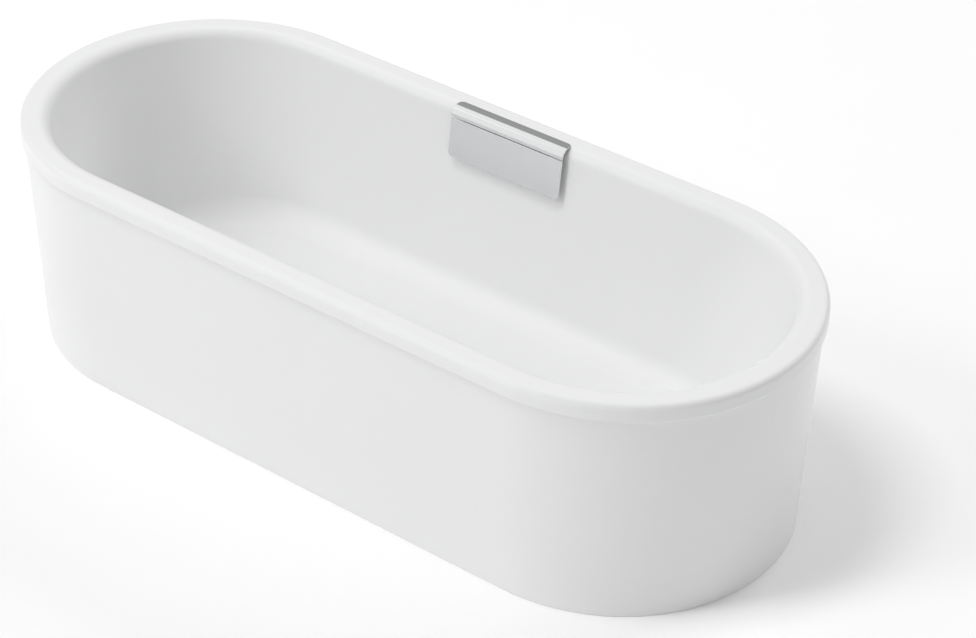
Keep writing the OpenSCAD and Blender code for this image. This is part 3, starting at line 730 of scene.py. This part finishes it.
def studio_floor():
    """A white sweep, lit a little from within so that it reads as a pale ground."""
    m = Shader("studio_floor", (0.965, 0.965, 0.965), 0.55, Emission_Strength=0.06)
    m.bsdf.inputs["Emission Color"].default_value = (1, 1, 1, 1)
    m.color(m.mix(m.noise(1.3, 2), (0.96, 0.96, 0.96), (0.972, 0.972, 0.972)))
    m.roughness(m.to_range(m.noise(3.0, 3), 0.5, 0.6))
    m.bump((m.noise(300.0, 2), 0.02, 0.0001))
    return m.material


def paint(obj, material):
    obj.data.materials.clear()
    obj.data.materials.append(material)


def paint_nodes(material, *names):
    """Gives CAD nodes a better material; a name ending in _ stands for all that start so."""
    for name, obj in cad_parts.items():
        if any(name == n or (n.endswith("_") and name.startswith(n)) for n in names):
            paint(obj, material)


# ---------------------------------------------------------------- studio

CAMERA_TURNS = (36.855, 34.693, 1.065)
CAMERA_TARGET = (-0.0406, 0.3113, 0)
CAMERA_DISTANCE = 5.5238
CAMERA_LENS = 100.95

FLOOR_HALF = 20
FLOOR_DROP = 0.0004
WORLD_STRENGTH = 0.35

DOME_R = 12.0
DOME_Z = 0.25

# name, azimuth and elevation in degrees, width and height in metres, power, seen in gloss
LIGHTS = [
    ("key_40", -35, 40, 2.4, 4.2, 240, False),
    ("key_70", -35, 70, 2.4, 4.2, 465, False),
    ("front", 10, 22, 6, 6, 30, False),
    ("right", 70, 25, 6, 6, 22, False),
    ("back", 170, 35, 7, 5, 450, False),
    ("sky_card", -90, 57, 10, 5.5, 96, True),
    ("key_card", -38, 27, 7, 11.5, 132, True),
]


def build_camera():
    """The photograph's viewpoint: a long lens from the front right, looking down."""
    azimuth, elevation, roll = (math.radians(a) for a in CAMERA_TURNS)
    flat = math.cos(elevation)
    back = Vector((math.sin(azimuth) * flat, -math.cos(azimuth) * flat, math.sin(elevation)))
    right = (-back).cross(Vector((0, 0, 1))).normalized()
    up = right.cross(-back)
    turned_right = right * math.cos(roll) + up * math.sin(roll)
    turned_up = up * math.cos(roll) - right * math.sin(roll)
    data = bpy.data.cameras.new("camera")
    data.sensor_width = 36
    data.lens = CAMERA_LENS
    camera = bpy.data.objects.new("camera", data)
    axes = Matrix((turned_right, turned_up, back)).transposed().to_4x4()
    place = Vector(CAMERA_TARGET) + back * CAMERA_DISTANCE
    camera.matrix_world = Matrix.Translation(place) @ axes
    bpy.context.scene.collection.objects.link(camera)
    bpy.context.scene.camera = camera


def softbox(name, azimuth, elevation, width, height, power, in_gloss):
    """A rectangular area light on the dome, facing the tub."""
    a, e = math.radians(azimuth), math.radians(elevation)
    back = Vector((math.sin(a) * math.cos(e), -math.cos(a) * math.cos(e), math.sin(e)))
    data = bpy.data.lights.new(name, "AREA")
    data.shape = "RECTANGLE"
    data.size, data.size_y = width, height
    data.energy = power
    light = bpy.data.objects.new(name, data)
    light.location = Vector((0, 0, DOME_Z)) + back * DOME_R
    light.rotation_mode = "QUATERNION"
    light.rotation_quaternion = back.to_track_quat("Z", "Y")
    light.visible_glossy = in_gloss
    bpy.context.scene.collection.objects.link(light)


def build_floor():
    """A pale floor that is far larger than the view."""
    bm = bmesh.new()
    bmesh.ops.create_grid(bm, x_segments=8, y_segments=8, size=FLOOR_HALF)
    bmesh.ops.translate(bm, verts=bm.verts, vec=(0, 0, -FLOOR_DROP))
    floor = new_object("floor", bm)
    paint(floor, studio_floor())


def build_world():
    """An even white surround."""
    world = bpy.data.worlds.new("studio")
    world.use_nodes = True
    back = world.node_tree.nodes["Background"]
    back.inputs["Color"].default_value = (1, 1, 1, 1)
    back.inputs["Strength"].default_value = WORLD_STRENGTH
    bpy.context.scene.world = world


def build_studio():
    """The camera, the floor and the lights: key strips from the front left, a back light, and cards."""
    build_camera()
    build_floor()
    build_world()
    for light in LIGHTS:
        softbox(*light)
    bpy.context.scene.view_settings.view_transform = "Standard"


# ---------------------------------------------------------------- assembly

build_studio()

white_acrylic = acrylic()
polished = chrome()
for piece in (build_basin(), build_apron()):
    paint(piece, white_acrylic)
for piece in (build_trim(), build_cover(), build_drain_flange(), build_stopper()):
    paint(piece, polished)

paint_nodes(brushed_steel(), "cover_bracket", "overflow_flange")
paint_nodes(
    zinc(),
    "long_rail_",
    "cross_rail_",
    "skirt_brackets",
    "rail_bolts",
    "rail_nuts",
    "board_screws",
    "bracket_screws",
    "foot_inserts",
    "foot_lock_nuts",
)
paint_nodes(threaded(), "foot_stud_")
paint_nodes(brass(), "stopper_pin")
paint_nodes(
    moulded("pipework", (0.70, 0.71, 0.71), (0.78, 0.785, 0.78), 0.38),
    "drain_body",
    "trap_body",
    "outlet_elbow",
    "overflow_body",
    "overflow_pipe",
    "overflow_elbow",
    "overflow_link",
)
paint_nodes(moulded("nuts", (0.58, 0.59, 0.6), (0.66, 0.67, 0.68), 0.42), "slip_nuts_", "trap_cap")
paint_nodes(moulded("clip", (0.05, 0.05, 0.055), (0.09, 0.09, 0.095), 0.5), "cover_clips")
paint_nodes(moulded("pad", (0.07, 0.07, 0.075), (0.12, 0.12, 0.125), 0.6, 0.25), "foot_pad_")
paint_nodes(
    rubber(),
    "flange_seal",
    "drain_gasket",
    "trap_cap_seal",
    "pipe_seals_",
    "overflow_seal",
    "stopper_seal",
)
paint_nodes(adhesive(), "rim_bond")
paint_nodes(chipboard(), "floor_board")
